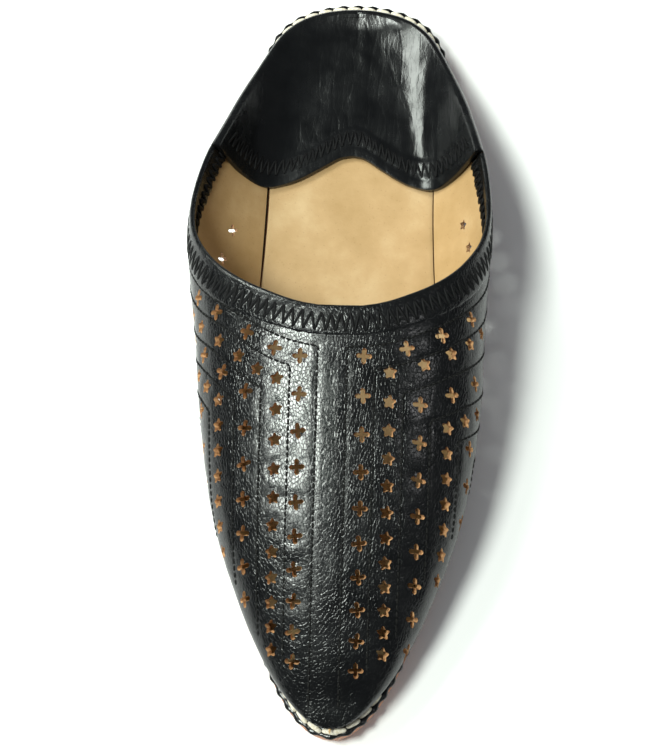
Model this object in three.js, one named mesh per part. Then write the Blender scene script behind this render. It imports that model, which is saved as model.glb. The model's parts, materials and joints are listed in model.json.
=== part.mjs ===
// A babouche: a flat leather slipper with a long pointed toe and a trodden-down back.
// Units are millimetres. The toe points to -Y, the heel to +Y, the floor is z = 0,
// and the origin lies on the floor under the middle of the sole.
import * as THREE from "three";
import { mergeVertices } from "three/addons/utils/BufferGeometryUtils.js";

// Driving dimensions.
const LENGTH = 285;
const BALL_WIDTH = 82;
const INSTEP_HEIGHT = 64;
const THROAT = 0.465; // where the mouth begins, as a share of the length from the toe
const MOUTH_TURNED = 0.62; // where the mouth's edge has turned to run along the side
const OUTSOLE_THICKNESS = 3.5;
const HEEL_LIFT = 7;
const INSOLE_THICKNESS = 2;
const UPPER_WALL = 2;
const QUARTER_THICKNESS = 1.6;
const SEAM_MARGIN = 4; // the turned-out foot of the upper that carries the sole stitches
const MARGIN_THICKNESS = 1.8;
const GAP = 0.3; // clearance between pieces that lie on each other
const INSOLE_INSET = SEAM_MARGIN + UPPER_WALL + 0.5;
const FOLD_DROP = 1; // how far the folded back starts under the wall's top
const SLOPE_AT_HEEL = 9; // how wide the folded back's slope is, from fold to flat
const SLOPE_AT_SIDE = 20;

// The sole's underside.
const TOE_SPRING = 5;
const SPRING_STARTS = 0.24; // share of the length, in front of which the toe lifts
const BALL_ENDS = 0.46;
const HEEL_BREAST = 0.74;

// The last's cross-section: how full its curves are, as shares of their own length.
const WAIST_FULLNESS = 0.45; // how soon the wall leans out above the seam
const WALL_START = 0.25;
const WALL_MIDDLE = 0.55;
const CROWN_FULLNESS = 0.58; // how square the vamp's shoulders are
const TOE_HEIGHT = 6;

// Sections of the last. `from` is the share of the length from the toe. `sole` is the
// outsole's half width as a share of the ball's half width. `swell` is how far the wall
// bulges out past its seam and `swellRise` how high above the seam. `ridge` says how high
// the closed vamp's middle is: 0 at the toe's own height and 1 at the instep's.
const SECTIONS = [
  { from: 0.0, sole: 0.0, swell: 2.0, swellRise: 4, ridge: 0.12 },
  { from: 0.03, sole: 0.33, swell: 3.0, swellRise: 6, ridge: 0.2 },
  { from: 0.08, sole: 0.53, swell: 4.8, swellRise: 8, ridge: 0.32 },
  { from: 0.16, sole: 0.735, swell: 7.2, swellRise: 13, ridge: 0.48 },
  { from: 0.26, sole: 0.905, swell: 9.9, swellRise: 19, ridge: 0.66 },
  { from: 0.38, sole: 1.0, swell: 11.2, swellRise: 26, ridge: 0.86 },
  { from: THROAT, sole: 0.99, swell: 12.2, swellRise: 31, ridge: 1.0 },
  { from: 0.6, sole: 0.905, swell: 17, swellRise: 33, ridge: 1.08 },
  { from: 0.72, sole: 0.88, swell: 16.5, swellRise: 31, ridge: 1.06 },
  { from: 0.84, sole: 0.92, swell: 9.2, swellRise: 25, ridge: 0.95 },
  { from: 0.93, sole: 0.81, swell: 2.6, swellRise: 18, ridge: 0.82 },
  { from: 0.97, sole: 0.64, swell: -0.2, swellRise: 15, ridge: 0.76 },
  { from: 0.99, sole: 0.41, swell: -1.0, swellRise: 14, ridge: 0.72 },
  { from: 1.0, sole: 0.0, swell: -1.2, swellRise: 14, ridge: 0.7 },
];

// The upper's top edge from the throat to the back of the heel. `height` is above the
// outsole's underside.
const TOP_LINE = [
  { from: THROAT, height: INSTEP_HEIGHT },
  { from: 0.49, height: 61.5 },
  { from: 0.54, height: 54 },
  { from: 0.59, height: 46 },
  { from: 0.65, height: 38.5 },
  { from: 0.72, height: 31.5 },
  { from: 0.8, height: 22 },
  { from: 0.88, height: 13.5 },
  { from: 0.95, height: 10 },
  { from: 1.0, height: 9.3 },
];

// The folded back's front edge, a bracket: `across` is the share of the half width, and
// `reach` how far the edge lies in front of the heel's back.
const BRACKET = [
  { across: 0, reach: 67.5 },
  { across: 0.1, reach: 68.5 },
  { across: 0.22, reach: 72 },
  { across: 0.4, reach: 77.5 },
  { across: 0.55, reach: 80.5 },
  { across: 0.7, reach: 82 },
  { across: 0.85, reach: 80.5 },
  { across: 1, reach: 78 },
];

// Resolution.
const TOE_STATIONS = 22;
const THROAT_STATIONS = 10;
const HEEL_STATIONS = 22;
const SOLE_STATIONS = 44;
const LIFT_STATIONS = 18;
const WALL_STEPS = 11;
const QUARTER_STEPS = 14;
const QUARTER_ACROSS = 14;
const STEP_CROWDING = 0.6;
const MOST_CROWDING = 4;
const HALVINGS = 30; // how often a search by halves cuts its range
const STEP = 1e-3; // a small step along a curve, for its direction

const HALF = LENGTH / 2;
const HALF_BALL = BALL_WIDTH / 2;

// A station is an angle: 0 at the toe's tip, PI at the heel's back. Equal steps of it
// crowd together at both ends, where the outline turns.
const angleAt = (share) => Math.acos(1 - 2 * share);

// A smooth curve through one column of a table, with cubic pieces between its rows.
function along(rows, key, column, at) {
  const last = rows.length - 1;
  let i = 0;
  while (i < last - 1 && at > rows[i + 1][key]) i += 1;
  const slope = (k) => {
    const a = rows[Math.max(k - 1, 0)];
    const b = rows[Math.min(k + 1, last)];
    return (b[column] - a[column]) / (b[key] - a[key]);
  };
  const from = rows[i];
  const to = rows[i + 1];
  const span = to[key] - from[key];
  const t = THREE.MathUtils.clamp((at - from[key]) / span, 0, 1);
  const rise = t * t * (3 - 2 * t);
  const leave = t * (1 - t) * (1 - t);
  const arrive = t * t * (t - 1);
  return (
    from[column] * (1 - rise) + to[column] * rise + span * (leave * slope(i) + arrive * slope(i + 1))
  );
}

const LAST = SECTIONS.map((row) => ({ ...row, angle: angleAt(row.from) }));
const section = (column, angle) => along(LAST, "angle", column, angle);

const cubic = (a, b, c, d, t) => {
  const s = 1 - t;
  return s * s * s * a + 3 * s * s * t * b + 3 * s * t * t * c + t * t * t * d;
};

// Height of the outsole's underside.
function underside(y) {
  const share = (y + HALF) / LENGTH;
  const spring = Math.max(0, (SPRING_STARTS - share) / SPRING_STARTS);
  const arch = THREE.MathUtils.smoothstep(share, BALL_ENDS, HEEL_BREAST);
  return TOE_SPRING * spring * spring + (HEEL_LIFT + GAP) * arch;
}
const soleTop = (y) => underside(y) + OUTSOLE_THICKNESS;

// The sole's outline, and the direction out of it. The outline is the same on both sides,
// so past an end it carries on as its own mirror image.
const outline = (angle) =>
  new THREE.Vector2(section("sole", angle) * HALF_BALL, -HALF * Math.cos(angle));
function outward(angle) {
  const other = (point) => point.setX(-point.x);
  const before = angle < STEP ? other(outline(STEP)) : outline(angle - STEP);
  const after = angle > Math.PI - STEP ? other(outline(Math.PI - STEP)) : outline(angle + STEP);
  const way = after.sub(before).normalize();
  return new THREE.Vector2(way.y, -way.x);
}
const inset = (angle, by) => outline(angle).sub(outward(angle).multiplyScalar(by));

// The seam where the wall rises from the margin.
const seam = (angle) => inset(angle, SEAM_MARGIN);
const seamHeight = (y) => soleTop(y) + GAP + MARGIN_THICKNESS;

// A point of the last's surface: t is 0 at the seam, 1 where the wall bulges most, and 2
// on the ridge. Behind the throat the ridge is only a guide that the top line cuts off.
function lastPoint(angle, t) {
  const foot = seam(angle);
  const out = outward(angle);
  const low = seamHeight(foot.y);
  const swell = section("swell", angle);
  const rise = section("swellRise", angle);
  if (t <= 1) {
    const bulge = cubic(0, WAIST_FULLNESS * swell, swell, swell, t);
    const up = cubic(0, WALL_START * rise, WALL_MIDDLE * rise, rise, t);
    return new THREE.Vector3(foot.x + out.x * bulge, foot.y + out.y * bulge, low + up);
  }
  const side = foot.add(out.multiplyScalar(swell));
  const from = low + rise;
  const top = THREE.MathUtils.lerp(TOE_HEIGHT, INSTEP_HEIGHT, section("ridge", angle));
  const x = cubic(side.x, side.x, CROWN_FULLNESS * side.x, 0, t - 1);
  const z = cubic(from, THREE.MathUtils.lerp(from, top, CROWN_FULLNESS), top, top, t - 1);
  return new THREE.Vector3(x, side.y, z);
}

const THROAT_ANGLE = angleAt(THROAT);
const MOUTH_ANGLE = angleAt(MOUTH_TURNED);

// Where the top line cuts the last's surface at this station.
function topOfWall(angle) {
  if (angle <= THROAT_ANGLE) return 2;
  let low = 0;
  let high = 2;
  for (let i = 0; i < HALVINGS; i += 1) {
    const middle = (low + high) / 2;
    const p = lastPoint(angle, middle);
    const share = THREE.MathUtils.clamp((p.y + HALF) / LENGTH, THROAT, 1);
    const cut = along(TOP_LINE, "from", "height", share) + underside(p.y);
    if (p.z < cut) low = middle;
    else high = middle;
  }
  return (low + high) / 2;
}

function lastNormal(angle, t) {
  const a = THREE.MathUtils.clamp(angle, STEP, Math.PI - STEP);
  const s = THREE.MathUtils.clamp(t, STEP, 2 - STEP);
  const round = lastPoint(a + STEP, s).sub(lastPoint(a - STEP, s));
  const up = lastPoint(a, s + STEP).sub(lastPoint(a, s - STEP));
  return round.cross(up).normalize();
}

// The wall's surface, `depth` under the leather's outer face.
function wallPoint(angle, t, depth) {
  const p = lastPoint(angle, t).addScaledVector(lastNormal(angle, t), -depth);
  const onMiddle = angle === 0 || angle === Math.PI || (t === 2 && angle <= THROAT_ANGLE);
  if (onMiddle) p.x = 0;
  return p;
}

// Stations from the toe's tip to the heel's back. Past the throat they start close
// together, because the mouth's edge turns sharply there.
function upperStations() {
  const list = [];
  for (let i = 0; i < TOE_STATIONS; i += 1) list.push((THROAT_ANGLE * i) / TOE_STATIONS);
  for (let i = 0; i < THROAT_STATIONS; i += 1) {
    list.push(THROAT_ANGLE + (MOUTH_ANGLE - THROAT_ANGLE) * (i / THROAT_STATIONS) ** 2);
  }
  for (let i = 0; i < HEEL_STATIONS; i += 1) {
    list.push(MOUTH_ANGLE + ((Math.PI - MOUTH_ANGLE) * i) / HEEL_STATIONS);
  }
  list.push(Math.PI);
  return list;
}

function evenStations(from, to, count) {
  return Array.from({ length: count + 1 }, (_, i) => (i === count ? to : from + ((to - from) * i) / count));
}

// Two triangles for four corners in turn.
const quad = (a, b, c, d) => [
  [a, b, c],
  [a, c, d],
];

// The skin between neighbouring rows of points. A closed row joins its end to its start.
function skin(rows, closed) {
  const triangles = [];
  for (let i = 0; i + 1 < rows.length; i += 1) {
    const count = rows[i].length;
    for (let j = 0; j < (closed ? count : count - 1); j += 1) {
      const k = (j + 1) % count;
      triangles.push(...quad(rows[i][j], rows[i + 1][j], rows[i + 1][k], rows[i][k]));
    }
  }
  return triangles;
}

// The right half's triangles and their mirror image, as one closed geometry. Faces that
// lie in the middle plane are where the halves join, so they are left out.
function mirrored(triangles) {
  const corners = [];
  const face = new THREE.Triangle();
  for (const [a, b, c] of triangles) {
    const inMiddle = [a, b, c].every((p) => Math.abs(p.x) < 1e-6);
    if (inMiddle || face.set(a, b, c).getArea() < 1e-6) continue;
    for (const p of [a, b, c]) corners.push(p.x, p.y, p.z);
    for (const p of [c, b, a]) corners.push(-p.x, p.y, p.z);
  }
  const geometry = new THREE.BufferGeometry();
  geometry.setAttribute("position", new THREE.Float32BufferAttribute(corners, 3));
  const solid = mergeVertices(geometry, 1e-4);
  solid.computeVertexNormals();
  return solid;
}

const raised = (point, z) => new THREE.Vector3(point.x, point.y, z);

// Steps up the wall from the seam to its top. Low steps are alike at every station and
// the high ones close up where the top is low, so that the rows of points run smoothly.
function wallSteps(top) {
  const crowding = Math.min(1 + (STEP_CROWDING * top) / Math.max(2 - top, STEP), MOST_CROWDING);
  return Array.from({ length: WALL_STEPS + 1 }, (_, i) => {
    const share = i / WALL_STEPS;
    return 2 * share - (2 - top) * share ** crowding;
  });
}

// One closed ring round the upper's wall at a station: out along the margin's underside,
// back over it, up the outer face, over the top edge, and down the lining.
function upperRing(angle) {
  const steps = wallSteps(topOfWall(angle));
  const edge = inset(angle, GAP);
  const foot = inset(angle, SEAM_MARGIN + UPPER_WALL);
  const edgeLow = soleTop(edge.y) + GAP;
  const ring = [raised(edge, edgeLow), raised(edge, edgeLow + MARGIN_THICKNESS)];
  for (const t of steps) ring.push(wallPoint(angle, t, 0));
  for (const t of steps.reverse()) ring.push(wallPoint(angle, t, UPPER_WALL));
  ring.push(raised(foot, soleTop(foot.y) + GAP));
  if (angle === 0 || angle === Math.PI) for (const p of ring) p.x = 0;
  return ring;
}
const upperGeometry = () => mirrored(skin(upperStations().map(upperRing), true));

// A flat piece cut to the sole's outline, set in by `by`, between two heights.
function slabGeometry(angles, by, lowAt, highAt) {
  const rings = angles.map((angle) => {
    const edge = inset(angle, by);
    if (angle === 0 || angle === Math.PI) edge.x = 0;
    const middle = new THREE.Vector2(0, edge.y);
    const low = lowAt(edge.y);
    const high = highAt(edge.y);
    return [raised(middle, low), raised(edge, low), raised(edge, high), raised(middle, high)];
  });
  const triangles = skin(rings, true);
  if (angles[0] > 0) triangles.push(...quad(...rings[0]));
  return mirrored(triangles);
}

const outsoleGeometry = () => slabGeometry(evenStations(0, Math.PI, SOLE_STATIONS), 0, underside, soleTop);
const insoleLow = (y) => soleTop(y) + GAP;
const insoleTop = (y) => insoleLow(y) + INSOLE_THICKNESS;
const insoleGeometry = () =>
  slabGeometry(evenStations(0, Math.PI, SOLE_STATIONS), INSOLE_INSET, insoleLow, insoleTop);
const liftGeometry = () =>
  slabGeometry(
    evenStations(angleAt(HEEL_BREAST), Math.PI, LIFT_STATIONS),
    0,
    () => 0,
    () => HEEL_LIFT,
  );

// The folded back's outer edge: just inside the upper's wall and just under its top.
function foldEdge(angle) {
  const p = wallPoint(angle, topOfWall(angle), UPPER_WALL + QUARTER_THICKNESS + 2 * GAP);
  p.z -= FOLD_DROP;
  return p;
}

// The station whose fold edge has this y.
function foldAngle(y) {
  let low = MOUTH_ANGLE;
  let high = Math.PI;
  for (let i = 0; i < HALVINGS; i += 1) {
    const middle = (low + high) / 2;
    if (foldEdge(middle).y < y) low = middle;
    else high = middle;
  }
  return (low + high) / 2;
}

// The folded back's upper face: flat on the insole in the middle, and rising to the fold.
// s is 0 at the heel's back and 1 at the bracket edge; u is 0 in the middle, 1 at the fold.
const FOLD_BACK = foldEdge(Math.PI);
function quarterPoint(s, u) {
  const reach = along(BRACKET, "across", "reach", u) - (HALF - FOLD_BACK.y);
  const y = FOLD_BACK.y - reach * (1 - Math.cos((s * Math.PI) / 2));
  const angle = foldAngle(y);
  const edge = s === 0 ? FOLD_BACK : foldEdge(angle);
  const facing = Math.max(outward(angle).x, 0);
  const fromFold = (1 - u) * edge.x * facing;
  const slope = THREE.MathUtils.lerp(SLOPE_AT_HEEL, SLOPE_AT_SIDE, facing);
  const sink = Math.max(1 - fromFold / slope, 0) ** 2;
  const flat = insoleTop(y) + GAP + QUARTER_THICKNESS;
  return new THREE.Vector3(u * edge.x, y, flat + (edge.z - flat) * sink);
}

function quarterGeometry() {
  const under = (s, u) => {
    const p = quarterPoint(s, u);
    if (s === 0) return new THREE.Vector3(0, p.y, p.z - QUARTER_THICKNESS);
    const uLow = Math.max(u - STEP, 0);
    const uHigh = Math.min(u + STEP, 1);
    const sHigh = Math.min(s + STEP, 1);
    const across = quarterPoint(s, uHigh).sub(quarterPoint(s, uLow));
    const forward = quarterPoint(sHigh, u).sub(quarterPoint(s - STEP, u));
    const normal = forward.cross(across).normalize();
    if (u === 0) normal.setX(0).normalize();
    return p.addScaledVector(normal, -QUARTER_THICKNESS * Math.sign(normal.z));
  };
  const rings = evenStations(0, 1, QUARTER_STEPS).map((s) => {
    const share = evenStations(0, 1, QUARTER_ACROSS);
    return [...share.map((u) => under(s, u)), ...share.reverse().map((u) => quarterPoint(s, u))];
  });
  const triangles = skin(rings.reverse(), true);
  triangles.push(...skin(frontStrip(rings[0]), false));
  return mirrored(triangles);
}

// The bracket edge's face, between the under side's row and the upper side's.
function frontStrip(ring) {
  const half = ring.length / 2;
  return [ring.slice(half).reverse(), ring.slice(0, half)];
}

function piece(name, geometry, color, roughness) {
  const mesh = new THREE.Mesh(
    geometry,
    new THREE.MeshStandardMaterial({ color, roughness, metalness: 0 }),
  );
  mesh.name = name;
  return mesh;
}

const slipper = new THREE.Group();
slipper.add(
  piece("outsole", outsoleGeometry(), 0xb9794f, 0.7),
  piece("heel_lift", liftGeometry(), 0x6b3d28, 0.7),
  piece("insole", insoleGeometry(), 0xc9a676, 0.75),
  piece("upper", upperGeometry(), 0x15181a, 0.35),
  piece("heel_quarter", quarterGeometry(), 0x17191a, 0.35),
);

export default slipper;
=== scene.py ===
# %% [markdown]
# # A babouche, laid on its last
# A babouche is a Moroccan slipper: one soft upper of goat leather, sewn to a flat leather
# sole with thick waxed thread, with a long pointed toe and a back that is trodden down flat.
# This lesson builds one the way its maker does. The leather is marked flat, punched, pulled
# over a last, and sewn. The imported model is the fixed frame, and every piece stands on it.

import json
import math

import bpy
import mathutils
import numpy as np
from mathutils import Matrix, Vector

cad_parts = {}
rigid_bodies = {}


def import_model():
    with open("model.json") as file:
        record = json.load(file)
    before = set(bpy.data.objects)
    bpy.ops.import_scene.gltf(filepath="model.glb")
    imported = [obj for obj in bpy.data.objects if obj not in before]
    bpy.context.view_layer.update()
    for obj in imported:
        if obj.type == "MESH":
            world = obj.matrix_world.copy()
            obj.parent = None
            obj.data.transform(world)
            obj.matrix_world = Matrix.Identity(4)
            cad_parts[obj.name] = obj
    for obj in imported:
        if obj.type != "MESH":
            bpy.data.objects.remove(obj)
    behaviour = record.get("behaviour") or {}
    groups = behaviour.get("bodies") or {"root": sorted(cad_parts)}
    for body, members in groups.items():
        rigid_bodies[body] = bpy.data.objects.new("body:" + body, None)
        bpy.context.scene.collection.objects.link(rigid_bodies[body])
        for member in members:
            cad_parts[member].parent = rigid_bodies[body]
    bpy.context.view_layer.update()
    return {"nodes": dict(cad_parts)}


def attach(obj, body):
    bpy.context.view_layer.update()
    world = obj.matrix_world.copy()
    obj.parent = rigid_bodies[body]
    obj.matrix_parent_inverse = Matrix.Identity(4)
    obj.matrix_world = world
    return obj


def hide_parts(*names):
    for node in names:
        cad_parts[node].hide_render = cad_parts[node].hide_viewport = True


for left_over in list(bpy.data.objects):
    bpy.data.objects.remove(left_over)
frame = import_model()

# %% [markdown]
# ## The last
# A shoemaker shapes the upper over a wooden last. Here the last is a set of sections along
# the foot, each with a few named sizes, and smooth curves between them. All the leather
# pieces below are laid on this one form, so they fit each other as they do on the last.
# All lengths in these cells are millimetres; only a finished mesh is turned into metres.

# %% The last's sizes
LENGTH = 285.0
HALF = LENGTH / 2
HALF_BALL = 41.0
INSTEP = 64.0
THROAT = 0.465  # where the mouth begins, as a share of the length from the toe
OUTSOLE = 3.5
HEEL_LIFT = 7.0
GAP = 0.3
MARGIN = 4.0  # the turned-out foot of the upper, outside its seam
MARGIN_THICK = 1.8
WALL = 2.0  # the upper, outer leather and lining together
INSOLE_THICK = 2.0
INSOLE_INSET = MARGIN + WALL + 0.5
BACK_THICK = 1.6
SLOPE_AT_HEEL, SLOPE_AT_SIDE = 9.0, 20.0  # width of the folded back's slope
TOE_SPRING, SPRING_STARTS = 5.0, 0.24
BALL_ENDS, HEEL_BREAST = 0.46, 0.74
WAIST_FULLNESS, WALL_START, WALL_MIDDLE = 0.45, 0.25, 0.55
CROWN_FULLNESS, TOE_HEIGHT = 0.58, 6.0

# from: share of the length. sole: half width over the ball's. swell and swell_rise: how far
# and how high the wall bulges. ridge: height of the vamp's middle, 0 at the toe's, 1 at the
# instep's.
SECTIONS = [
    # from, sole, swell, swell_rise, ridge
    (0.0, 0.0, 2.0, 4, 0.12),
    (0.03, 0.33, 3.0, 6, 0.2),
    (0.08, 0.53, 4.8, 8, 0.32),
    (0.16, 0.735, 7.2, 13, 0.48),
    (0.26, 0.905, 9.9, 19, 0.66),
    (0.38, 1.0, 11.2, 26, 0.86),
    (THROAT, 0.99, 12.2, 31, 1.0),
    (0.6, 0.905, 17, 33, 1.08),
    (0.72, 0.88, 16.5, 31, 1.06),
    (0.84, 0.92, 9.2, 25, 0.95),
    (0.93, 0.81, 2.6, 18, 0.82),
    (0.97, 0.64, -0.2, 15, 0.76),
    (0.99, 0.41, -1.0, 14, 0.72),
    (1.0, 0.0, -1.2, 14, 0.7),
]
# Height of the upper's top edge over the outsole's underside, from the throat to the heel.
TOP_LINE = [
    # from, height
    (THROAT, INSTEP),
    (0.49, 61.5),
    (0.54, 54),
    (0.59, 46),
    (0.65, 38.5),
    (0.72, 31.5),
    (0.8, 22),
    (0.88, 13.5),
    (0.95, 10),
    (1.0, 9.3),
]
# The folded back's front edge. across: share of the half width. reach: how far the edge
# lies in front of the heel's back.
BRACKET = [
    # across, reach
    (0, 67.5),
    (0.1, 68.5),
    (0.22, 72),
    (0.4, 77.5),
    (0.55, 80.5),
    (0.7, 82),
    (0.85, 80.5),
    (1, 78),
]


# %% Smooth curves through the tables
def unit(vectors):
    return vectors / (np.linalg.norm(vectors, axis=-1, keepdims=True) + 1e-12)


def run_along(line):
    """How far each point of a line is from its start, measured along the line."""
    return np.concatenate([[0], np.cumsum(np.linalg.norm(np.diff(line, axis=0), axis=1))])


def read_between(at, keys, table):
    """The rows of a table at places between its keys."""
    return np.stack([np.interp(at, keys, column) for column in table.T], -1)


def smooth_curve(keys, values, at):
    """Cubic pieces through the rows of a table, for an array of places."""
    keys, values, at = (np.asarray(a, float) for a in (keys, values, at))
    last = len(keys) - 1
    i = np.clip(np.searchsorted(keys, at, side="left") - 1, 0, last - 1)
    low, high = np.maximum(np.arange(last + 1) - 1, 0), np.minimum(np.arange(last + 1) + 1, last)
    slope = (values[high] - values[low]) / (keys[high] - keys[low])
    span = keys[i + 1] - keys[i]
    t = np.clip((at - keys[i]) / span, 0, 1)
    rise = t * t * (3 - 2 * t)
    leave, arrive = t * (1 - t) ** 2, t * t * (t - 1)
    lean = span * (leave * slope[i] + arrive * slope[i + 1])
    return values[i] * (1 - rise) + values[i + 1] * rise + lean


def bezier(a, b, c, d, t):
    s = 1 - t
    return s**3 * a + 3 * s * s * t * b + 3 * s * t * t * c + t**3 * d


def angle_at(share):
    """A station's angle: 0 at the toe's tip, pi at the heel's back."""
    return np.arccos(1 - 2 * np.asarray(share, float))


SECTION_ANGLES = angle_at([row[0] for row in SECTIONS])


def section(column, angle):
    return smooth_curve(SECTION_ANGLES, [row[column] for row in SECTIONS], angle)


def underside(y):
    share = (y + HALF) / LENGTH
    spring = np.maximum(0, (SPRING_STARTS - share) / SPRING_STARTS)
    arch = np.clip((share - BALL_ENDS) / (HEEL_BREAST - BALL_ENDS), 0, 1)
    return TOE_SPRING * spring**2 + (HEEL_LIFT + GAP) * arch * arch * (3 - 2 * arch)


def sole_top(y):
    return underside(y) + OUTSOLE


def outline(angle):
    return np.stack([section(1, angle) * HALF_BALL, -HALF * np.cos(angle)], -1)


def outward(angle):
    """The direction out of the sole's outline, in plan."""
    step = 1e-3
    angle = np.asarray(angle, float)
    before = outline(np.where(angle < step, step, angle - step))
    after = outline(np.where(angle > np.pi - step, np.pi - step, angle + step))
    before[..., 0] *= np.where(angle < step, -1, 1)
    after[..., 0] *= np.where(angle > np.pi - step, -1, 1)
    way = unit(after - before)
    return np.stack([way[..., 1], -way[..., 0]], -1)


def inset(angle, by):
    return outline(angle) - outward(angle) * np.asarray(by)[..., None]


def last_point(angle, t):
    """A point of the last: t is 0 at the seam, 1 where the wall bulges most, 2 on the ridge."""
    angle, t = np.broadcast_arrays(np.asarray(angle, float), np.asarray(t, float))
    foot, out = inset(angle, MARGIN), outward(angle)
    low = sole_top(foot[..., 1]) + GAP + MARGIN_THICK
    swell, rise = section(2, angle), section(3, angle)
    t_low, t_high = np.clip(t, 0, 1), np.clip(t - 1, 0, 1)
    bulge = bezier(0, WAIST_FULLNESS * swell, swell, swell, t_low)
    up = bezier(0, WALL_START * rise, WALL_MIDDLE * rise, rise, t_low)
    beside = foot + out * bulge[..., None]
    wall = np.stack([beside[..., 0], beside[..., 1], low + up], -1)
    side = foot + out * swell[..., None]
    top = TOE_HEIGHT + (INSTEP - TOE_HEIGHT) * section(4, angle)
    x = bezier(side[..., 0], side[..., 0], CROWN_FULLNESS * side[..., 0], 0, t_high)
    z0 = low + rise
    z = bezier(z0, z0 + CROWN_FULLNESS * (top - z0), top, top, t_high)
    crown = np.stack([x, side[..., 1], z], -1)
    return np.where((t <= 1)[..., None], wall, crown)


def top_height(y):
    share = np.clip((y + HALF) / LENGTH, THROAT, 1)
    return smooth_curve([r[0] for r in TOP_LINE], [r[1] for r in TOP_LINE], share) + underside(y)


# %% The last as a chart
# Leather is marked flat and then pulled over the last. This chart does the same: `along` is
# the distance from the toe's tip over the ridge, and `across` the distance down from the
# ridge. Each side has its own rows, because the slipper has slumped a little to its left.
ROWS, STEPS = 480, 240
LEFT_BULGE, RIGHT_BULGE = 5.5, 0.8  # how far worn leather has pushed each side out, by the mouth
BULGE_AT, BULGE_LENGTH = 28.0, 45.0
BULGE_FROM, BULGE_RISE, BULGE_FAR = 8, 30, 40  # it starts above the sole, and away from the middle


def slump(points, side):
    """Pushes a side of the mouth outwards, most at its top."""
    push = LEFT_BULGE if side < 0 else RIGHT_BULGE
    near = np.exp(-(((points[..., 1] - BULGE_AT) / BULGE_LENGTH) ** 2))
    high = np.clip((points[..., 2] - BULGE_FROM) / BULGE_RISE, 0, 1)
    far = np.clip(np.abs(points[..., 0]) / BULGE_FAR, 0, 1)
    moved = points.copy()
    moved[..., 0] += push * near * high * far
    return moved


class Chart:
    """One side of the last, looked up by distances along and across."""

    def __init__(self, side):
        self.side = side
        self.angles = np.linspace(0, np.pi, ROWS)
        t = np.linspace(2, 0, STEPS + 1)
        raw = slump(last_point(self.angles[:, None], t[None, :]), side)
        self.along = run_along(raw[:, 0])
        down = np.array([run_along(line) for line in raw])
        self.width = down[:, -1]
        even = np.linspace(0, 1, STEPS + 1)
        self.points = np.stack(
            [read_between(even * run[-1], run, line) for run, line in zip(down, raw)]
        )
        normals = np.cross(np.gradient(self.points, axis=1), np.gradient(self.points, axis=0))
        normals[0], normals[-1] = normals[1], normals[-2]
        self.normals = unit(normals)
        past = self.angles > angle_at(THROAT)
        above = self.points[..., 2] > top_height(self.points[..., 1])
        self.top = np.where(past, np.array([self._cut(i, above[i]) for i in range(ROWS)]), 0.0)

    def _cut(self, i, above):
        """How far down row i the top line cuts it."""
        j = int(np.argmin(above))
        if j == 0:
            return 0.0
        z, y = self.points[i, j - 1 : j + 1, 2], self.points[i, j - 1 : j + 1, 1]
        over = z - top_height(y)
        share = over[0] / (over[0] - over[1] + 1e-9)
        return (j - 1 + share) / STEPS * self.width[i]

    def width_at(self, along):
        return np.interp(along, self.along, self.width)

    def top_at(self, along):
        return np.interp(along, self.along, self.top)

    def look_up(self, along, across):
        """Points and normals of the last's surface. The side is mirrored in here."""
        row = np.clip(np.interp(along, self.along, np.arange(ROWS)), 0, ROWS - 1.001)
        step = np.clip(across / self.width_at(along), 0, 1) * (STEPS - 1e-6)
        i, j = row.astype(int), step.astype(int)
        a, b = (row - i)[..., None], (step - j)[..., None]
        mirror = np.array([self.side, 1, 1])
        found = []
        for table in (self.points, self.normals):
            near = table[i, j] * (1 - b) + table[i, j + 1] * b
            far = table[i + 1, j] * (1 - b) + table[i + 1, j + 1] * b
            found.append((near * (1 - a) + far * a) * mirror)
        points, normals = found
        return points, unit(normals)


CHARTS = {side: Chart(side) for side in (1, -1)}
ALONG_THROAT = float(np.interp(angle_at(THROAT), CHARTS[1].angles, CHARTS[1].along))
print("last:", round(CHARTS[1].width.max(), 1), "mm from ridge to seam at most")
print("throat:", round(ALONG_THROAT, 1), "mm from the tip")


# %% [markdown]
# ## The heel's fold
# At the back the leather goes up the wall, rolls over and is trodden down flat inside. The
# roll is a small circle, and it ends where the slope down to the insole begins. These rows
# of figures say where that is at every station, for each side.

# %% Where the roll ends
FOLD_RADIUS = 1.9
FOLD_FROM = 0.68  # share of the length, a little in front of the corners of the mouth
LEAST_STEEP = 0.15
CORNER_Y = HALF - BRACKET[-1][1]  # the collar ends and the folded back begins here


def insole_top(y):
    return sole_top(y) + GAP + INSOLE_THICK


def back_flat(y):
    """Height of the folded back's upper face where it lies flat."""
    return insole_top(y) + GAP + BACK_THICK


def roll_point(rim, out, rise, turn):
    """The roll's point after it has turned by this much from the wall."""
    turn = np.asarray(turn)[..., None]
    return rim - out * FOLD_RADIUS + FOLD_RADIUS * (out * np.cos(turn) + rise * np.sin(turn))


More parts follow.
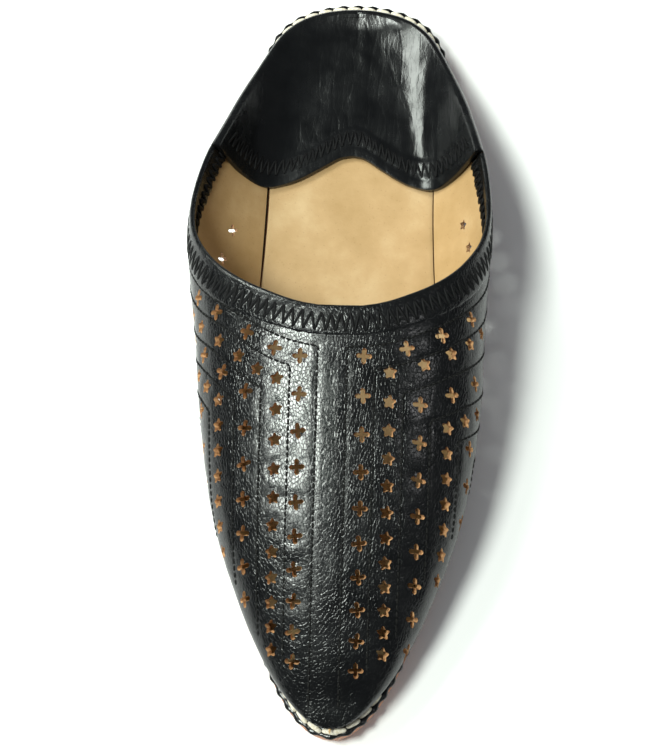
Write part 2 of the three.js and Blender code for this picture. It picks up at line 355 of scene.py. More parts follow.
class Fold:
    """The roll at the top of one side's wall, by station."""

    def __init__(self, side):
        chart = CHARTS[side]
        self.angles = np.linspace(angle_at(FOLD_FROM), np.pi, 400)
        along = np.interp(self.angles, chart.angles, chart.along)
        self.rim, self.out = chart.look_up(along, chart.top_at(along))
        rise = np.cross(self.out, np.gradient(self.rim, axis=0))
        self.rise = unit(rise * np.sign(rise[:, 2:]))
        self.facing = np.clip(outward(self.angles)[:, 0], 0, 1)
        self.slope = SLOPE_AT_HEEL + (SLOPE_AT_SIDE - SLOPE_AT_HEEL) * self.facing
        drop = self.rim[:, 2] - back_flat(self.rim[:, 1])
        steep = np.arctan(np.clip(2 * drop / self.slope, LEAST_STEEP, None))
        lean = np.arcsin(np.clip(-self.out[:, 2], -1, 1))
        self.turn = np.pi / 2 + steep + lean
        self.end = roll_point(self.rim, self.out, self.rise, self.turn)
        # always a little further back, so that y can be looked up
        self.end[:, 1] = np.maximum.accumulate(self.end[:, 1]) + np.linspace(0, 0.01, len(self.end))

    def where(self, table, y):
        """A row of figures, read at the station where the roll ends at this y."""
        return np.interp(y, self.end[:, 1], table)


FOLDS = {side: Fold(side) for side in (1, -1)}
CORNER_ANGLE = {side: float(fold.where(fold.angles, CORNER_Y)) for side, fold in FOLDS.items()}
ALONG_CORNER = {
    side: float(np.interp(CORNER_ANGLE[side], chart.angles, chart.along))
    for side, chart in CHARTS.items()
}
print("the collar ends", round(ALONG_CORNER[1], 1), "mm along the hide")


# %% [markdown]
# ## Working by hand in code
# Every piece starts as a flat grid, like leather on the bench. A maker draws on it, cuts it
# and pulls it over the last. Here a function says where each grid point ends up, and the
# modifiers that follow give the sheet its thickness and its rounded edges.

# %% Small helpers for selecting, laying and finishing
MM = 0.001


def select_only(*pieces):
    bpy.ops.object.select_all(action="DESELECT")
    for piece in pieces:
        piece.select_set(True)
    bpy.context.view_layer.objects.active = pieces[-1]


def bench_grid(name, columns, rows):
    """A new flat grid, and for each of its points a share across and a share along."""
    bpy.ops.object.select_all(action="DESELECT")
    bpy.ops.mesh.primitive_grid_add(x_subdivisions=columns, y_subdivisions=rows, size=1)
    piece = bpy.context.object
    piece.name = piece.data.name = name
    flat = points_of(piece)
    return piece, flat[:, 0] + 0.5, flat[:, 1] + 0.5


def read_vectors(items, name):
    """One vector for each vertex or face, as rows."""
    found = np.empty(len(items) * 3)
    items.foreach_get(name, found)
    return found.reshape(-1, 3)


def points_of(piece):
    return read_vectors(piece.data.vertices, "co")


def lay(piece, points_mm):
    """Moves every point of a piece to its place, given in millimetres."""
    piece.data.vertices.foreach_set("co", (points_mm * MM).ravel())
    piece.data.update()


def apply_modifier(piece, kind, **settings):
    select_only(piece)
    modifier = piece.modifiers.new(kind.title(), kind)
    for name, value in settings.items():
        setattr(modifier, name, value)
    bpy.ops.object.modifier_apply(modifier=modifier.name)


def round_edges(piece, width_mm, segments, sharper_than, **settings):
    """Bevels the edges that are sharper than an angle in degrees."""
    settings |= {"limit_method": "ANGLE", "angle_limit": math.radians(sharper_than)}
    apply_modifier(piece, "BEVEL", width=width_mm * MM, segments=segments, **settings)


def edit_all(piece, operator, **settings):
    """Runs one edit mode operator on the whole of a piece."""
    select_only(piece)
    bpy.ops.object.mode_set(mode="EDIT")
    bpy.ops.mesh.select_all(action="SELECT")
    operator(**settings)
    bpy.ops.object.mode_set(mode="OBJECT")


def weld(piece, distance_mm):
    edit_all(piece, bpy.ops.mesh.remove_doubles, threshold=distance_mm * MM)


def face_outward(piece):
    edit_all(piece, bpy.ops.mesh.normals_make_consistent, inside=False)


def face_up(piece):
    """Recalculated normals can turn an open sheet either way, so its middle is asked."""
    level = [face for face in piece.data.polygons if abs(face.normal.z) > 0.8]
    middle = [face for face in level if abs(face.center.x) < 20 * MM]
    if sum(face.normal.z * face.area for face in middle) <= 0:
        edit_all(piece, bpy.ops.mesh.flip_normals)


def strip_grid(name, section, stations):
    """A grid for a swept section: each point's two section figures and its station."""
    piece, across, along = bench_grid(name, len(section) - 1, stations - 1)
    column = np.round(across * (len(section) - 1)).astype(int)
    return piece, *np.array(section)[column].T, np.round(along * (stations - 1)).astype(int)


def delete_faces(piece, chosen):
    """Deletes the chosen faces of a piece, given as one true or false for each."""
    select_only(piece)
    bpy.ops.object.mode_set(mode="EDIT")
    bpy.ops.mesh.select_mode(type="FACE")
    bpy.ops.mesh.select_all(action="DESELECT")
    bpy.ops.object.mode_set(mode="OBJECT")
    piece.data.polygons.foreach_set("select", chosen)
    bpy.ops.object.mode_set(mode="EDIT")
    bpy.ops.mesh.delete(type="FACE")
    bpy.ops.mesh.select_mode(type="VERT")
    bpy.ops.object.mode_set(mode="OBJECT")


def join(name, pieces):
    select_only(*pieces)
    if len(pieces) > 1:
        bpy.ops.object.join()
    joined = bpy.context.object
    joined.name = joined.data.name = name
    return joined


def copies(piece, places):
    """Copies a small piece to each place, each copy with its own mesh, and joins them."""
    made = []
    for place in places:
        other = piece.copy()
        other.data = piece.data.copy()
        other.data.transform(Matrix(place))
        bpy.context.collection.objects.link(other)
        made.append(other)
    name = piece.name
    bpy.data.objects.remove(piece)
    return join(name, made)


def triangle_count(piece):
    return sum(len(face.vertices) - 2 for face in piece.data.polygons)


def finish(piece, finishes, stands_for=(), smooth_angle=35):
    """Gives a piece its finishes, its smooth shading and its place in the object."""
    slots = piece.data.materials
    for number, one in enumerate(finishes):
        if number < len(slots):
            slots[number] = one
        else:
            slots.append(one)
    select_only(piece)
    bpy.ops.object.shade_smooth_by_angle(angle=math.radians(smooth_angle))
    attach(piece, "root")
    if stands_for:
        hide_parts(*stands_for)
    print(piece.name, "has", triangle_count(piece), "triangles")


# %% Soft noise, the same on every run
def value_noise(across, along, size, seed):
    """Smooth random heights from -1 to 1 on a lattice with cells of this size."""
    lattice = np.random.default_rng(seed).uniform(-1, 1, (128, 128))
    x, y = across / size[0] + 50, along / size[1] + 50
    i, j = np.floor(x).astype(int), np.floor(y).astype(int)
    a, b = x - i, y - j
    a, b = a * a * (3 - 2 * a), b * b * (3 - 2 * b)
    i, j = i % 127, j % 127
    near = lattice[i, j] * (1 - b) + lattice[i, j + 1] * b
    far = lattice[i + 1, j] * (1 - b) + lattice[i + 1, j + 1] * b
    return near * (1 - a) + far * a


def bell(x, width):
    return np.exp(-((x / width) ** 2))


def ramp(x, low, high):
    t = np.clip((x - low) / (high - low), 0, 1)
    return t * t * (3 - 2 * t)


# %% [markdown]
# ## Finishes
# Each finish is a small tree of nodes on the shader's own sockets. Patterns are placed by
# Object coordinates, so they stay on the leather in every view, and their scales are real
# sizes: a texture with a scale of 1/d repeats every d metres.

# %% Colour and node helpers
def linear(hex_colour):
    """An sRGB hex colour as linear red, green, blue and alpha."""
    found = []
    for i in (1, 3, 5):
        value = int(hex_colour[i : i + 2], 16) / 255
        found.append(value / 12.92 if value <= 0.04045 else ((value + 0.055) / 1.055) ** 2.4)
    return (*found, 1.0)


def plug(tree, node, links):
    for name, socket in links.items():
        tree.links.new(socket, node.inputs[name])


def add_node(tree, kind, settings=None, values=None, links=None, stops=()):
    """Adds a node, sets its properties, inputs, links and the colour stops of a ramp."""
    node = tree.nodes.new("ShaderNode" + kind)
    for name, value in (settings or {}).items():
        setattr(node, name, value)
    for name, value in (values or {}).items():
        node.inputs[name].default_value = value
    plug(tree, node, links or {})
    for number, (position, colour) in enumerate(stops):
        if number >= len(node.color_ramp.elements):
            node.color_ramp.elements.new(position)
        element = node.color_ramp.elements[number]
        element.position, element.color = position, linear(colour)
    return node


def every(size_mm):
    """The scale of a pattern that repeats every so many millimetres."""
    return 1 / (size_mm * MM)


def new_finish(name, roughness, **values):
    """A material with its shader ready, its tree, and the object coordinates."""
    material = bpy.data.materials.new(name)
    material.use_nodes = True
    tree = material.node_tree
    shader = tree.nodes["Principled BSDF"]
    shader.inputs["Roughness"].default_value = roughness
    for socket, value in values.items():
        shader.inputs[socket.replace("_", " ")].default_value = value
    return material, tree, shader, add_node(tree, "TexCoord").outputs["Object"]


# %% Glazed black goat leather
# Dyed through, glazed with an agate roller: a near-black skin with a hard shine. A net of
# narrow furrows parts it into flat pebbles, so the shine is silvery with fine dark lines.
PEBBLE_SLOPE = 0.13  # the share of a pebble's size that slopes down into the furrow
SWAY_MM, RIPPLE_MM = 1.2, 0.1


def black_finish(name, nets, drawn_out, gloss):
    """Black leather: nets of furrows, each a size and a depth, drawn out along the foot."""
    material, tree, shader, place = new_finish(name, gloss[0], IOR=1.5)
    values = {"Scale": every(12), "Detail": 4.0, "Roughness": 0.6}
    cloud = add_node(tree, "TexNoise", values=values, links={"Vector": place}).outputs["Fac"]
    stops = [(0.3, "#070809"), (0.7, "#0F1011")]
    dye = add_node(tree, "ValToRGB", links={"Fac": cloud}, stops=stops)
    values = {"From Min": 0.3, "From Max": 0.7, "To Min": gloss[0], "To Max": gloss[1]}
    worn = add_node(tree, "MapRange", values=values, links={"Value": cloud})
    values = {"Scale": (1.0, drawn_out, 1.0)}
    long = add_node(tree, "Mapping", values=values, links={"Vector": place}).outputs["Vector"]
    values = {"Scale": every(3), "Detail": 2.0}
    bent = add_node(tree, "TexNoise", values=values, links={"Vector": long})
    links = {0: bent.outputs["Color"]}
    sway = add_node(tree, "VectorMath", {"operation": "SCALE"}, {"Scale": SWAY_MM * MM}, links)
    links = {0: long, 1: sway.outputs["Vector"]}
    swayed = add_node(tree, "VectorMath", links=links).outputs["Vector"]
    values = {"Scale": every(4), "Detail": 3.0}
    ripple = add_node(tree, "TexNoise", values=values, links={"Vector": long})
    links = {"Height": ripple.outputs["Fac"]}
    bump = add_node(tree, "Bump", values={"Distance": RIPPLE_MM * MM}, links=links)
    for size_mm, depth_mm in nets:
        settings, values = {"feature": "DISTANCE_TO_EDGE"}, {"Scale": every(size_mm)}
        net = add_node(tree, "TexVoronoi", settings, values, {"Vector": swayed})
        settings, values = {"interpolation_type": "SMOOTHSTEP"}, {"From Max": PEBBLE_SLOPE}
        flat = add_node(tree, "MapRange", settings, values, {"Value": net.outputs["Distance"]})
        links = {"Height": flat.outputs["Result"], "Normal": bump.outputs["Normal"]}
        bump = add_node(tree, "Bump", values={"Distance": depth_mm * MM}, links=links)
    colour, roughness, normal = dye.outputs["Color"], worn.outputs["Result"], bump.outputs["Normal"]
    plug(tree, shader, {"Base Color": colour, "Roughness": roughness, "Normal": normal})
    return material


# nets of wrinkles and of grain: size and depth in mm; then drawn out by, and roughness
nets = [(3.4, 0.02), (0.95, 0.031)]
black_leather = black_finish("glazed_black_goat_leather", nets, 0.62, (0.18, 0.27))
nets = [(6.0, 0.03), (1.6, 0.012)]
smooth_leather = black_finish("polished_black_leather", nets, 0.3, (0.2, 0.3))


# %% Raw cut edge and threads
def fibre_finish(name, roughness, fibre_mm, detail, dark, light, bump=0.0, **values):
    """Cut fibres, or a thread's twisted strands, from one noise. Where a bump is asked for, the same
    noise raises the strands, so the light colour lies on top and the darker colour between them is
    painted shade; without a bump it is only uneven tone.
    """
    material, tree, shader, place = new_finish(name, roughness, **values)
    values = {"Scale": every(fibre_mm), "Detail": detail}
    fibres = add_node(tree, "TexNoise", values=values, links={"Vector": place}).outputs["Fac"]
    # with a bump, the darker colour falls where the bump sinks: painted shade between the strands
    colour = add_node(tree, "ValToRGB", links={"Fac": fibres}, stops=[dark, light])
    plug(tree, shader, {"Base Color": colour.outputs["Color"]})
    if bump:
        values = {"Strength": bump, "Distance": 0.2 * MM}
        raised = add_node(tree, "Bump", values=values, links={"Height": fibres})
        plug(tree, shader, {"Normal": raised.outputs["Normal"]})
    return material


raw_edge = fibre_finish("raw_cut_leather_edge", 0.75, 1.0, 4.0, (0.3, "#7A5233"), (0.7, "#D2A473"))
# each thread's darker colour between its raised strands is painted shade
ivory_thread, black_thread, quilt_thread = (
    fibre_finish(name, roughness, 0.7, 2.0, (0.35, dark), (0.65, light), 0.5, Specular_IOR_Level=0.15)
    for name, roughness, dark, light in (
        ("waxed_ivory_cotton_thread", 0.55, "#CFC4AC", "#EFE9DA"),
        ("black_sewing_thread", 0.6, "#09090A", "#161617"),
        ("worn_black_quilting_thread", 0.6, "#0A0A0A", "#1C1C1B"),
    )
)

# %% Tan lining
# Sheep leather, tanned and left undyed: an even tan with clouds, and pores as small dots.
lining, tree, shader, place = new_finish("tan_sheep_lining", 0.62)
values = {"Scale": every(20), "Detail": 5.0, "Roughness": 0.6}
cloud = add_node(tree, "TexNoise", values=values, links={"Vector": place})
stops = [(0.3, "#A68657"), (0.55, "#B59568"), (0.8, "#C6AA80")]
tan = add_node(tree, "ValToRGB", links={"Fac": cloud.outputs["Fac"]}, stops=stops)
pores = add_node(tree, "TexVoronoi", values={"Scale": every(1.6)}, links={"Vector": place})
stops = [(0.0, "#9C7A50"), (0.16, "#FFFFFF")]
dots = add_node(tree, "ValToRGB", links={"Fac": pores.outputs["Distance"]}, stops=stops)
links = {6: tan.outputs["Color"], 7: dots.outputs["Color"]}
mixed = add_node(tree, "Mix", {"data_type": "RGBA", "blend_type": "MULTIPLY"}, {0: 0.5}, links)
values = {"Scale": every(0.8), "Detail": 4.0}
grain = add_node(tree, "TexNoise", values=values, links={"Vector": place})
values = {"Strength": 0.35, "Distance": 0.15 * MM}
bump = add_node(tree, "Bump", values=values, links={"Height": grain.outputs["Fac"]})
plug(tree, shader, {"Base Color": mixed.outputs[2], "Normal": bump.outputs["Normal"]})


# %% Sole and heel leather
def sole_finish(name, light, dark):
    """Thick tanned leather, its fibres lying flat in layers."""
    material, tree, shader, place = new_finish(name, 0.5)
    layers = add_node(tree, "Mapping", values={"Scale": (1.0, 1.0, 6.0)}, links={"Vector": place})
    values = {"Scale": every(4), "Detail": 6.0, "Roughness": 0.65}
    links = {"Vector": layers.outputs["Vector"]}
    fibre = add_node(tree, "TexNoise", values=values, links=links).outputs["Fac"]
    values = {"Scale": every(30), "Detail": 4.0}
    cloud = add_node(tree, "TexNoise", values=values, links={"Vector": place})
    links = {0: fibre, 1: cloud.outputs["Fac"]}
    both = add_node(tree, "Math", {"operation": "MULTIPLY"}, links=links)
    stops = [(0.12, dark), (0.4, light)]
    tan = add_node(tree, "ValToRGB", links={"Fac": both.outputs["Value"]}, stops=stops)
    values = {"Strength": 0.4, "Distance": 0.2 * MM}
    bump = add_node(tree, "Bump", values=values, links={"Height": fibre})
    plug(tree, shader, {"Base Color": tan.outputs["Color"], "Normal": bump.outputs["Normal"]})
    return material


sole_leather = sole_finish("vegetable_tanned_sole_leather", "#CF9068", "#9A5D3C")
# the heel lift's darker brown than the sole is painted shade, for the shade it stands in at the heel
heel_leather = sole_finish("heel_leather_painted_shade", "#7A4830", "#4A2A1B")


# %% [markdown]
# ## The pattern on the hide
# The vamp is quilted: rows of machine stitches run up from the toe, and near the
# mouth each row turns outwards and follows the collar. Between the rows stand lanes of
# punched holes, crosses and stars in turn. The maker marks all of them at equal distances,
# so each is worked out here from its distance to the middle line and to the collar.

# %% Rows and lanes, in millimetres on the flat hide
PATTERN_SHIFT = -2.4  # the marked middle line lies this far to the left of the ridge
SEAMS = [
    # apart from the middle line, below the collar on the left and on the right, toe end
    (5.0, {-1: 13.2, 1: 13.2}, 9),
    (14.3, {-1: 21.6, 1: 21.0}, 22),
    (24.2, {-1: 32.6, 1: 30.3}, 34),
    (34.0, {-1: 42.5, 1: 41.5}, 52),
    (45.5, {-1: 54.0, 1: 51.0}, 70),
    (57.0, {-1: 63.5, 1: 60.0}, 88),
]
CLOSING = {-1: 0.27, 1: 0.05}  # how much nearer the collar the rows come at the sides
CLOSING_STARTS, CLOSING_ENDS = 5, 42
LANES = {
    # apart, below, pitch, growth of the pitch, toe end, mouth end, first turned steps, shape
    -1: [
        (10.9, 17.6, 13.0, 0.19, 18, 153, (9.4, 11.9, 15.5), "cross"),
        (18.7, 27.4, 10.6, 0.16, 25, 153, (8.1, 8.8, 10.6, 12.5), "star"),
        (29.7, 37.0, 12.6, 0.19, 40, 195, (), "cross"),
        (40.7, 47.0, 8.6, 0.04, 56, 168, (), "star"),
        (51.5, 58.0, 12.6, 0.19, 66, 168, (), "cross"),
        (62.0, 67.0, 9.6, 0.1, 86, 160, (), "star"),
    ],
    1: [
        (10.6, 16.4, 13.6, 0.22, 18, 153, (15.1, 14.1, 15.7), "cross"),
        (19.6, 23.3, 10.1, 0.145, 25, 201, (12.6, 11.6), "star"),
        (30.3, 36.0, 13.0, 0.2, 30, 190, (), "cross"),
        (40.7, 45.8, 8.6, 0.04, 50, 170, (), "star"),
        (51.5, 55.0, 12.6, 0.19, 66, 168, (), "cross"),
        (62.0, 64.0, 9.6, 0.1, 86, 160, (), "star"),
    ],
}
CROSS_SIZE, STAR_SIZE = 5.5, 4.5
HOLE_REACH = {"cross": CROSS_SIZE / 2 + 0.15, "star": STAR_SIZE / 2 + 0.3}
HOLE_TAPER = 0.84  # how much smaller a hole is at the lining
MOST_STEPS = 20
LEAN = 0.5  # a hole beside the collar leans half as far over as its row
HAND_TURN = 0.16  # punched by hand, so no two holes stand quite alike
HOLES_APART, CLEAR_OF_RIM, CLEAR_OF_FOOT = 6.3, 10.5, 7.5
RIM_PITCH, ROW_PITCH = 0.8, 0.4  # how finely the mouth's edge and the rows are followed
ROWS_CLEAR, SHORTEST_ROW = 3, 20  # above the foot in mm, and in points


def collar_line(side):
    """The mouth's edge on the flat hide: across and along, from the throat to the heel."""
    chart = CHARTS[side]
    along = np.concatenate([[ALONG_THROAT], chart.along[chart.along > ALONG_THROAT]])
    across = chart.top_at(along)
    across[0] = 0
    return np.stack([across, along], -1)


def walk(line, pitch):
    """Even steps along a line: points and unit directions."""
    run = run_along(line)
    steps = max(int(round(run[-1] / pitch)), 1)
    points = read_between(np.linspace(0, run[-1], steps + 1), run, line)
    return points, unit(np.gradient(points, axis=0))


RIMS = {side: walk(collar_line(side), RIM_PITCH) for side in (1, -1)}


def marked_line(side, apart, below, toe_end, along_end):
    """A row on the hide: straight up from the toe, then turning out along the collar."""
    rim, way = RIMS[side]
    run = np.arange(len(rim))[:, None] * RIM_PITCH
    near = below * (1 - CLOSING[side] * ramp(run, CLOSING_STARTS, CLOSING_ENDS))
    turned = rim + np.stack([way[:, 1], -way[:, 0]], -1) * near
    start = side * PATTERN_SHIFT + apart
    turned = turned[(turned[:, 0] > start) & (turned[:, 1] < along_end)]
    return np.vstack([[start, toe_end], [start, turned[0, 1]], turned])


def to_foot(side, across, along):
    """How far a place on the hide is from the seam at the foot."""
    return CHARTS[side].width_at(along) - across


def hole_places(side):
    """Every hole of one side: across, along, turn and shape."""
    found = []
    hand = np.random.default_rng(60 + side)
    for apart, below, pitch, growth, toe_end, mouth_end, first_steps, shape in LANES[side]:
        line = marked_line(side, apart, below, toe_end, mouth_end)
        corner = line[1, 1]
        step, along = 0, corner
        while along > toe_end - 1:
            found.append((line[0, 0], along, 0.0, shape))
            step += 1
            along = corner - pitch * step + growth * step * step
            if 2 * growth * step > pitch:
                break
        turned = line[1:]
        run = run_along(turned)
        marks = np.cumsum([*first_steps, *[pitch] * MOST_STEPS])
        marks = marks[marks < run[-1]]
        across, along = read_between(marks, run, turned).T
        rise = np.interp(marks, run, np.gradient(turned[:, 1], run))
        found += [(*spot, shape) for spot in zip(across, along, rise * LEAN)]
    clear, rim = [], RIMS[side][0]
    for across, along, turn, shape in found:
        to_rim = np.hypot(rim[:, 0] - across, rim[:, 1] - along).min()
        near = any(math.hypot(across - a, along - b) < HOLES_APART for a, b, _, _ in clear)
        inside = to_rim > CLEAR_OF_RIM and to_foot(side, across, along) > CLEAR_OF_FOOT
        if inside and not near:
            clear.append((across, along, turn + hand.uniform(-HAND_TURN, HAND_TURN), shape))
    return clear


HOLES = {side: hole_places(side) for side in (1, -1)}
print("holes on each side:", {side: len(found) for side, found in HOLES.items()})


# %% Rows of stitches as lines on the hide
def seam_lines(side):
    lines = []
    for apart, below, toe_end in SEAMS:
        marked = marked_line(side, apart, below[side], toe_end, ALONG_CORNER[side] - 2)
        line, _ = walk(marked, ROW_PITCH)
        clear = to_foot(side, line[:, 0], line[:, 1]) > ROWS_CLEAR
        if clear.sum() > SHORTEST_ROW:
            lines.append(line[clear])
    return lines


SEAM_LINES = {side: seam_lines(side) for side in (1, -1)}


def search_tree(places):
    """A tree that finds the nearest of some places on the flat hide."""
    tree = mathutils.kdtree.KDTree(len(places))
    for number, place in enumerate(places):
        tree.insert((place[0], place[1], 0), number)
    tree.balance()
    return tree


def nearest(points, places):
    """Distance from each point to the nearest of some places."""
    tree = search_tree(places)
    return np.array([tree.find((x, y, 0))[2] for x, y in points])


# %% [markdown]
# ## The leather's relief
# Stitching pulls the leather down and the padding between the rows swells up. Around each
# punched hole the edge sinks a little. Wear adds creases where the toes bend. These heights
# are real shape, so they catch the light from every side, and the finest grain is left to
# the material.

# %% Heights over the last
GROOVE, GROOVE_WIDTH = 0.14, 0.7
PUFF, PUFF_WIDTH = 0.04, 3.2
DIMPLE, DIMPLE_AT, DIMPLE_WIDTH = 0.12, 2.4, 1.2
WORN_CREASE = 0.2  # most of a crease has been pressed out again
CREASE_WANDER, CREASE_WAVE, CREASE_LIP = 1.6, 5.0, 0.45
SWAYS = [
    # height, cell across and along, seed
    (0.04, (8, 11), 3),
    (0.025, (2.4, 6.5), 4),
]
RIM_THICK = 1.1  # the leather is pared thin where it is turned in at the mouth
CREASES = [
    # side, across and along at the start, then at the end, depth, width
    (-1, 4, 96, 34, 88, 0.45, 2.2),
    (-1, 8, 78, 40, 74, 0.35, 2.0),
    (-1, 6, 60, 36, 52, 0.4, 2.2),
    (-1, 18, 108, 50, 104, 0.5, 2.4),
    (1, 6, 92, 36, 84, 0.35, 2.2),
    (1, 10, 66, 40, 60, 0.35, 2.2),
    (1, 20, 106, 52, 98, 0.4, 2.4),
]


def crease_depth(side, across, along):
    total = np.zeros_like(along)
    for of_side, x0, y0, x1, y1, depth, width in CREASES:
        if of_side != side:
            continue
        dx, dy = x1 - x0, y1 - y0
        length = math.hypot(dx, dy)
        run = ((across - x0) * dx + (along - y0) * dy) / length
        off = ((along - y0) * dx - (across - x0) * dy) / length
        off = off + CREASE_WANDER * np.sin(run / CREASE_WAVE + x0)
        fade = ramp(run, -2, 8) * (1 - ramp(run, length - 8, length + 2))
        lip = CREASE_LIP * bell(off - 2.2 * width, width)
        total += depth * fade * (bell(off, width) - lip)
    return total


def relief(side, across, along):
    """Height of the finished leather over the bare last."""
    points = np.stack([across, along], -1)
    to_seam = nearest(points, np.vstack(SEAM_LINES[side]))
    to_hole = nearest(points, HOLES[side])
    to_rim = nearest(points, RIMS[side][0])
    open_field = ramp(to_rim, 6, 12) * ramp(along, 3, 16) * ramp(to_foot(side, across, along), 1, 8)
    height = PUFF * (1 - bell(to_seam, PUFF_WIDTH)) * open_field
    height -= GROOVE * bell(to_seam, GROOVE_WIDTH) * ramp(to_rim, 6, 9)
    height -= DIMPLE * bell(to_hole - DIMPLE_AT, DIMPLE_WIDTH) * open_field
    height -= WORN_CREASE * crease_depth(side, across, along)
    for sway, cell, seed in SWAYS:
        height += sway * value_noise(across * side, along, cell, seed) * open_field
    return height


# %% [markdown]
# ## The vamp
# The vamp is one piece of black goat leather, lined with tan leather, and the holes go
# through both. It is made as the maker makes it: a flat sheet is cut to the pattern's
# outline, the holes are punched while it is flat, and only then is it pulled over the last.
# Punching a curved sheet would need a tool turned to every hole, and would leave ragged
# edges. A Boolean intersection cuts the outline, and a difference takes out the holes, with
# one cross and one star copied to each place.

# %% One punch of each shape
CUTTER = 8.0  # cutters are this tall, and stand halfway through the sheet


def cutter_from(outline_mm):
    """A block with this outline, standing through the flat sheet."""
    bpy.ops.object.select_all(action="DESELECT")
    bpy.ops.mesh.primitive_circle_add(vertices=len(outline_mm), radius=MM, fill_type="NGON")
    cutter = bpy.context.object
    lay(cutter, np.column_stack([outline_mm, np.full(len(outline_mm), -CUTTER / 2)]))
    up = {"value": (0, 0, CUTTER * MM)}
    edit_all(cutter, bpy.ops.mesh.extrude_region_move, TRANSFORM_OT_translate=up)
    face_outward(cutter)
    return cutter


def punch(shape):
    """A cutter with the outline of a cross or a star."""
    if shape == "cross":
        lobe = [(0.25, -0.25), (0.6, -0.3), (0.84, -0.25), (1.0, 0.0), (0.84, 0.25), (0.6, 0.3)]
        arms, reach = 4, CROSS_SIZE / 2
    else:
        lobe = [(0.50, -0.363), (0.92, -0.14), (1.0, 0.0), (0.92, 0.14)]
        arms, reach = 5, STAR_SIZE / 2 * 1.06
    corners = []
    for arm in range(arms):
        turn = math.pi / 2 + arm * 2 * math.pi / arms
        c, s = math.cos(turn) * reach, math.sin(turn) * reach
        corners += [(x * c - y * s, x * s + y * c) for x, y in lobe]
    return cutter_from(corners)


def punch_set(side):
    """All the cutters of one side, joined."""
    made = []
    for shape in ("cross", "star"):
        places = [
            Matrix.Translation((x * MM, y * MM, 0)) @ Matrix.Rotation(turn, 4, "Z")
            for x, y, turn, kind in HOLES[side]
            if kind == shape
        ]
        made.append(copies(punch(shape), places))
    return join("punch_set", made)


# %% Cut, punch and pull over the last
CELL = 0.9  # the sheet's mesh, fine enough for the quilting
OUTER, EDGE, INNER = 0, 1, 2  # finishes of the sheet's faces
PAST, SPARE = 3, 2
PARED = 14  # how far from the mouth the leather is pared
LINING_RELIEF = 0.25  # the lining follows a quarter of the outer leather's relief


def pattern_cutter(side):
    """A block with the outline of half the vamp, a little past its ridge and tip."""
    chart, rim = CHARTS[side], RIMS[side][0]
    along = np.linspace(0, ALONG_CORNER[side], 220)
    foot = np.stack([chart.width_at(along) - 0.01, along], -1)
    foot[0, 1] = -PAST
    mouth = rim[(rim[:, 1] < ALONG_CORNER[side]) & (rim[:, 0] > 0.3)][::-1]
    end = [[chart.top_at(ALONG_CORNER[side]), ALONG_CORNER[side]]]
    return cutter_from(np.vstack([foot, end, mouth, [[-PAST, ALONG_THROAT], [-PAST, -PAST]]]))


def flat_vamp(side):
    """Half of the vamp, cut and punched flat: across, along and depth."""
    wide, long = CHARTS[side].width.max() + SPARE, ALONG_CORNER[side] + SPARE
    sheet, share_across, share_along = bench_grid("vamp", int(wide / CELL), int(long / CELL))
    lay(sheet, np.stack([share_across * wide, share_along * long, 0 * share_along], -1))
    apply_modifier(sheet, "SOLIDIFY", thickness=WALL * MM, offset=-1)
    for operation, cutter in (("INTERSECT", pattern_cutter(side)), ("DIFFERENCE", punch_set(side))):
        apply_modifier(sheet, "BOOLEAN", operation=operation, solver="EXACT", object=cutter)
        bpy.data.objects.remove(cutter)
    faces = sheet.data.polygons
    upright = read_vectors(faces, "normal")[:, 2]
    finish_of = np.where(upright > 0.5, OUTER, np.where(upright < -0.5, INNER, EDGE))
    at_ridge_or_tip = (read_vectors(faces, "center")[:, :2] / MM < 0.01).any(axis=1)
    for one in (black_leather, raw_edge, lining):
        sheet.data.materials.append(one)
    faces.foreach_set("material_index", finish_of.astype(np.int32))
    delete_faces(sheet, at_ridge_or_tip & (finish_of == EDGE))
    apply_modifier(sheet, "TRIANGULATE", min_vertices=5)
    return sheet


def drawn_in(side, across, along, depth):
    """The holes narrow towards the lining, so their cut edge shows all round."""
    tree = search_tree(HOLES[side])
    across, along = across.copy(), along.copy()
    for number in np.flatnonzero(depth < -WALL / 2):
        centre, hole, away = tree.find((across[number], along[number], 0))
        if away < HOLE_REACH[HOLES[side][hole][3]]:
            across[number] = centre.x + (across[number] - centre.x) * HOLE_TAPER
            along[number] = centre.y + (along[number] - centre.y) * HOLE_TAPER
    return across, along


def over_last(side, flat):
    """Points of the flat sheet, pulled over one side of the last."""
    across, along, depth = flat.T
    across, along = drawn_in(side, across, along, depth)
    points, normals = CHARTS[side].look_up(along, across)
    level = (ramp(across, 0, 4) * ramp(along, 0, 5))[:, None] * [1, 0, 0] + [0, 1, 1]
    normals = unit(normals * level)
    share_out = np.clip(1 + depth / WALL, 0, 1)
    to_rim = nearest(np.stack([across, along], -1), RIMS[side][0])
    depth = depth * (RIM_THICK + (WALL - RIM_THICK) * ramp(to_rim, 1, PARED)) / WALL
    follows = LINING_RELIEF + (1 - LINING_RELIEF) * share_out
    height = depth + relief(side, across, along) * follows
    return points + normals * height[:, None]


halves = []
for side in (1, -1):
    half = flat_vamp(side)
    lay(half, over_last(side, points_of(half) / MM))
    halves.append(half)
    print("half of the vamp:", triangle_count(half), "triangles")
vamp = join("vamp", halves)
weld(vamp, 0.03)
face_outward(vamp)


# %% [markdown]
# ## The trodden back
# The back is one sheet of the same leather. From the seam at the foot it goes up the wall,
# rolls over, and lies down on the insole as far as its bracket-shaped front edge. One grid
# holds all of it: its rows run from the heel to the front edge, and its columns go up the
# left wall, over, across the insole and down the right wall. Rows that close up at the heel
# give the round of the back without a pole.

# %% The sheet's rows and columns
BACK_ROWS, WALL_COLUMNS, ROLL_COLUMNS, FLAT_COLUMNS = 96, 18, 9, 84
MIDDLE_ROUND = 9.0
HEEL_END = FOLDS[1].end[-1, 1]  # where the roll ends at the heel's back


